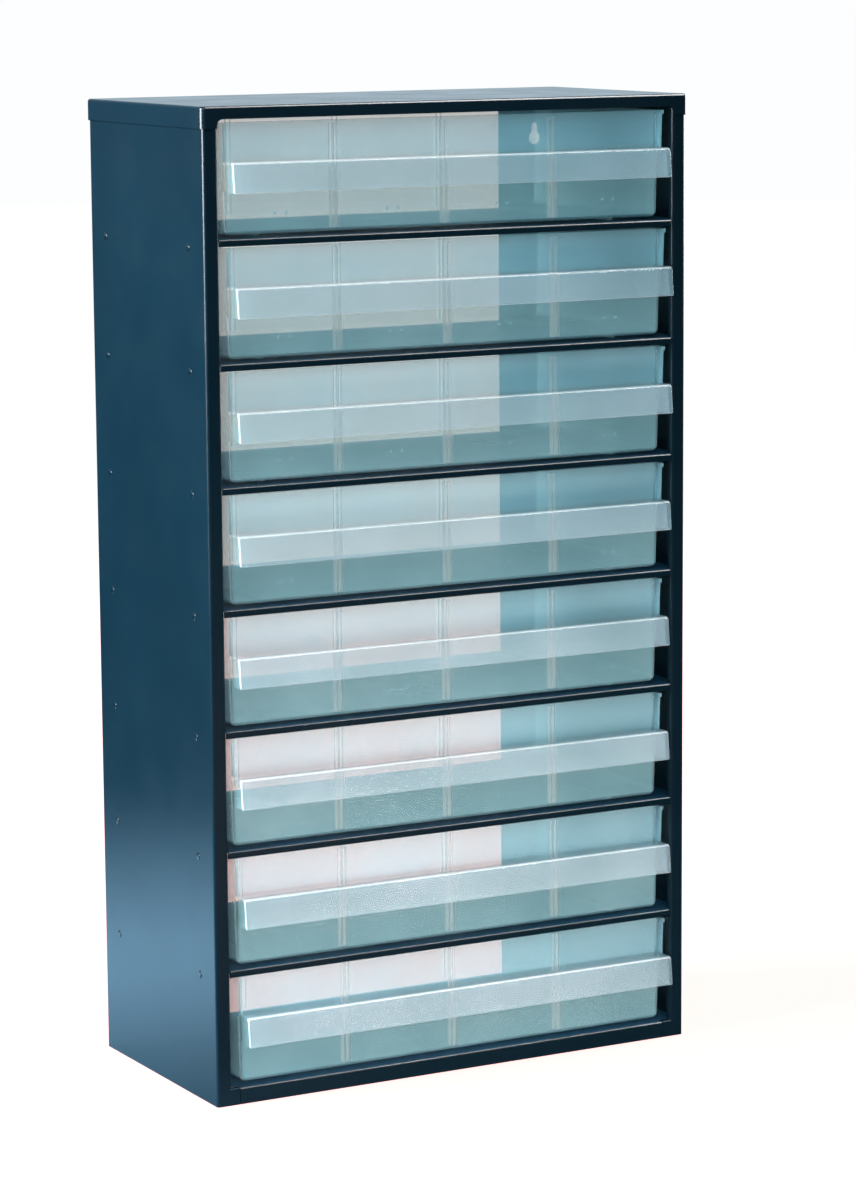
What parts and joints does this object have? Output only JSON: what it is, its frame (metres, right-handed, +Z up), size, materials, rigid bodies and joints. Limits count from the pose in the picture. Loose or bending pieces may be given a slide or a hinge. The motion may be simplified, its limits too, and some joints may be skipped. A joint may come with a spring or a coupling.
{
  "type": "parts organizer",
  "caption": "Free-standing folded steel cabinet with a single column of full-width translucent plastic drawers for small parts.",
  "frame": {"origin": "on the floor, under the middle of the whole object, the handles counted in its depth", "axes": "+Z up, drawers pull out towards -Y, +X to the right as seen from the front"},
  "size_m": [0.306, 0.1595, 0.551],
  "materials": {
    "painted_steel": "semi-gloss dark blue powder coat",
    "frosted_plastic": "translucent, slightly frosted, glossy rim"
  },
  "bodies": {
    "case": {"top_cap": "painted_steel", "left_side_panel": "painted_steel", "right_side_panel": "painted_steel", "base_panel": "painted_steel", "shelf_1": "painted_steel", "shelf_2": "painted_steel", "shelf_3": "painted_steel", "shelf_4": "painted_steel", "shelf_5": "painted_steel", "shelf_6": "painted_steel", "shelf_7": "painted_steel"},
    "drawer_1": {"drawer_1": "frosted_plastic"},
    "drawer_2": {"drawer_2": "frosted_plastic"},
    "drawer_3": {"drawer_3": "frosted_plastic"},
    "drawer_4": {"drawer_4": "frosted_plastic"},
    "drawer_5": {"drawer_5": "frosted_plastic"},
    "drawer_6": {"drawer_6": "frosted_plastic"},
    "drawer_7": {"drawer_7": "frosted_plastic"},
    "drawer_8": {"drawer_8": "frosted_plastic"}
  },
  "joints": [
    {"name": "drawer_1_slide", "type": "slide", "parent": "case", "child": "drawer_1", "axis": [0, -1, 0], "range_m": [0, 0.115]},
    {"name": "drawer_2_slide", "type": "slide", "parent": "case", "child": "drawer_2", "axis": [0, -1, 0], "range_m": [0, 0.115]},
    {"name": "drawer_3_slide", "type": "slide", "parent": "case", "child": "drawer_3", "axis": [0, -1, 0], "range_m": [0, 0.115]},
    {"name": "drawer_4_slide", "type": "slide", "parent": "case", "child": "drawer_4", "axis": [0, -1, 0], "range_m": [0, 0.115]},
    {"name": "drawer_5_slide", "type": "slide", "parent": "case", "child": "drawer_5", "axis": [0, -1, 0], "range_m": [0, 0.115]},
    {"name": "drawer_6_slide", "type": "slide", "parent": "case", "child": "drawer_6", "axis": [0, -1, 0], "range_m": [0, 0.115]},
    {"name": "drawer_7_slide", "type": "slide", "parent": "case", "child": "drawer_7", "axis": [0, -1, 0], "range_m": [0, 0.115]},
    {"name": "drawer_8_slide", "type": "slide", "parent": "case", "child": "drawer_8", "axis": [0, -1, 0], "range_m": [0, 0.115]}
  ]
}
